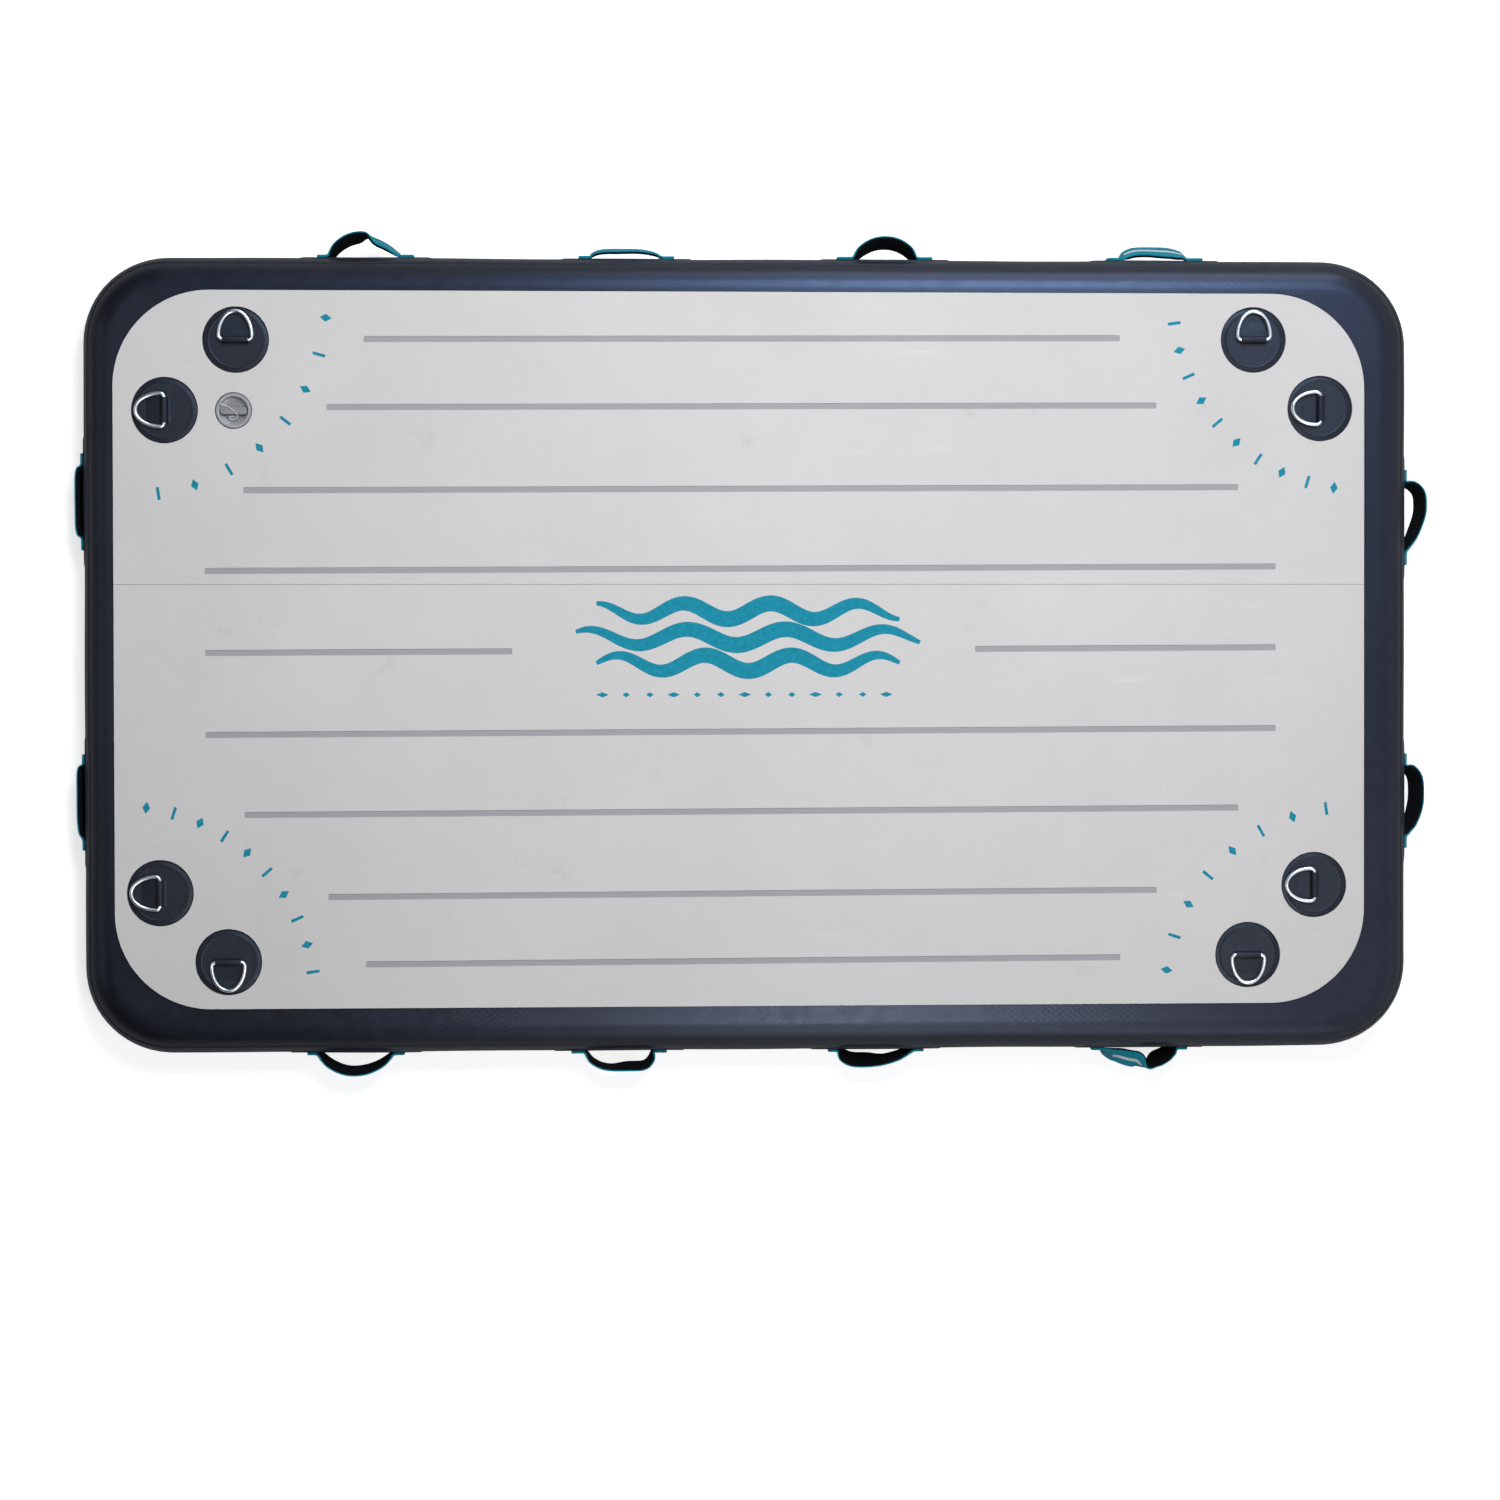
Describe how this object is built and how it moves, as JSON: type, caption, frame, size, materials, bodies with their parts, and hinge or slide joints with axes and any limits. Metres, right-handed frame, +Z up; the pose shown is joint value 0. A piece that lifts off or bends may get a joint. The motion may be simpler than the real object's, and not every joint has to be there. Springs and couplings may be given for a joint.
{
  "type": "inflatable floating island",
  "caption": "Rectangular drop-stitch inflatable swim platform with a grooved foam deck, corner tie-down rings, padded side handles and a recessed valve with a tethered cap.",
  "frame": {"origin": "centre of the flat underside of the hull, without the bulging wall's bias", "axes": "+X along the long side, +Y to the long side nearest the valve, +Z up out of the deck"},
  "size_m": [2.3417, 1.4488, 0.1662],
  "materials": {
    "navy_pvc": "coated fabric, low sheen, navy",
    "woven_core": "off-white woven polyester and yarn",
    "foam_deck": "matt closed-cell foam, pale grey, fine-grained",
    "patch_rubber": "matt coated fabric, dark navy",
    "steel": "polished stainless steel",
    "webbing": "woven webbing, teal outside and black inside",
    "valve_plastic": "moulded nylon, mid grey",
    "seal_rubber": "black rubber",
    "string": "white braided string"
  },
  "bodies": {
    "hull": {"bottom_skin": "navy_pvc", "cap_tether": "string", "deck_back_sheet": "foam_deck", "deck_front_sheet": "foam_deck", "drop_stitch_core": "woven_core", "handle_back_1": "webbing", "handle_back_2": "webbing", "handle_back_3": "webbing", "handle_back_4": "webbing", "handle_front_1": "webbing", "handle_front_2": "webbing", "handle_front_3": "webbing", "handle_front_4": "webbing", "handle_left_1": "webbing", "handle_left_2": "webbing", "handle_patch_back_1": "patch_rubber", "handle_patch_back_2": "patch_rubber", "handle_patch_back_3": "patch_rubber", "handle_patch_back_4": "patch_rubber", "handle_patch_front_1": "patch_rubber", "handle_patch_front_2": "patch_rubber", "handle_patch_front_3": "patch_rubber", "handle_patch_front_4": "patch_rubber", "handle_patch_left_1": "patch_rubber", "handle_patch_left_2": "patch_rubber", "handle_patch_right_1": "patch_rubber", "handle_patch_right_2": "patch_rubber", "handle_right_1": "webbing", "handle_right_2": "webbing", "rail_band": "navy_pvc", "ring_patch_back_left_side": "patch_rubber", "ring_patch_back_left_top": "patch_rubber", "ring_patch_back_right_side": "patch_rubber", "ring_patch_back_right_top": "patch_rubber", "ring_patch_front_left_low": "patch_rubber", "ring_patch_front_left_side": "patch_rubber", "ring_patch_front_right_low": "patch_rubber", "ring_patch_front_right_side": "patch_rubber", "side_wall": "navy_pvc", "top_skin": "navy_pvc", "valve_body": "valve_plastic", "valve_clamp_nut": "valve_plastic", "valve_gasket": "seal_rubber", "valve_spring": "steel"},
    "spring_washer": {"valve_spring_washer": "steel"},
    "plunger": {"valve_plunger": "valve_plastic"},
    "cap_seal": {"valve_cap_seal": "seal_rubber"},
    "cap": {"valve_cap": "valve_plastic", "cap_tether_end": "string"},
    "ring_back_left_top": {"d_ring_back_left_top": "steel"},
    "ring_back_left_side": {"d_ring_back_left_side": "steel"},
    "ring_back_right_top": {"d_ring_back_right_top": "steel"},
    "ring_back_right_side": {"d_ring_back_right_side": "steel"},
    "ring_front_right_side": {"d_ring_front_right_side": "steel"},
    "ring_front_right_low": {"d_ring_front_right_low": "steel"},
    "ring_front_left_side": {"d_ring_front_left_side": "steel"},
    "ring_front_left_low": {"d_ring_front_left_low": "steel"}
  },
  "joints": [
    {"name": "ring_swing_back_left_top", "type": "hinge", "parent": "hull", "child": "ring_back_left_top", "pos_m": [-0.87381, 0.53339, 0.16105], "axis": [1, 0, 0], "range_deg": [0, 180]},
    {"name": "ring_swing_back_left_side", "type": "hinge", "parent": "hull", "child": "ring_back_left_side", "pos_m": [-0.99396, 0.41393, 0.16105], "axis": [0, 1, 0], "range_deg": [0, 180]},
    {"name": "ring_swing_back_right_top", "type": "hinge", "parent": "hull", "child": "ring_back_right_top", "pos_m": [0.86276, 0.53826, 0.16105], "axis": [1, 0, 0], "range_deg": [0, 180]},
    {"name": "ring_swing_back_right_side", "type": "hinge", "parent": "hull", "child": "ring_back_right_side", "pos_m": [0.9781, 0.42094, 0.16105], "axis": [0, 1, 0], "range_deg": [0, 180]},
    {"name": "ring_swing_front_right_side", "type": "hinge", "parent": "hull", "child": "ring_front_right_side", "pos_m": [0.96796, -0.39793, 0.16105], "axis": [0, 1, 0], "range_deg": [0, 180]},
    {"name": "ring_swing_front_right_low", "type": "hinge", "parent": "hull", "child": "ring_front_right_low", "pos_m": [0.85315, -0.518, 0.16105], "axis": [-1, 0, 0], "range_deg": [0, 180]},
    {"name": "ring_swing_front_left_side", "type": "hinge", "parent": "hull", "child": "ring_front_left_side", "pos_m": [-1.00453, -0.40402, 0.16105], "axis": [0, 1, 0], "range_deg": [0, 180]},
    {"name": "ring_swing_front_left_low", "type": "hinge", "parent": "hull", "child": "ring_front_left_low", "pos_m": [-0.88983, -0.52166, 0.16105], "axis": [-1, 0, 0], "range_deg": [0, 180]},
    {"name": "plunger_push", "type": "slide", "parent": "hull", "child": "spring_washer", "axis": [0, 0, 1], "range_m": [-0.005, 0], "stiffness_N_per_m": 600, "springref_m": 0.004, "deforming": ["valve_spring"]},
    {"name": "plunger_turn", "type": "hinge", "parent": "spring_washer", "child": "plunger", "pos_m": [-0.87782, 0.41334, 0.13], "axis": [0, 0, 1], "range_deg": [0, 90]},
    {"name": "cap_lift", "type": "slide", "parent": "hull", "child": "cap_seal", "axis": [0, 0, 1], "range_m": [0, 0.03], "deforming": ["cap_tether"]},
    {"name": "cap_turn", "type": "hinge", "parent": "cap_seal", "child": "cap", "pos_m": [-0.87782, 0.41334, 0.15], "axis": [0, 0, 1], "range_deg": [-90, 0]}
  ]
}
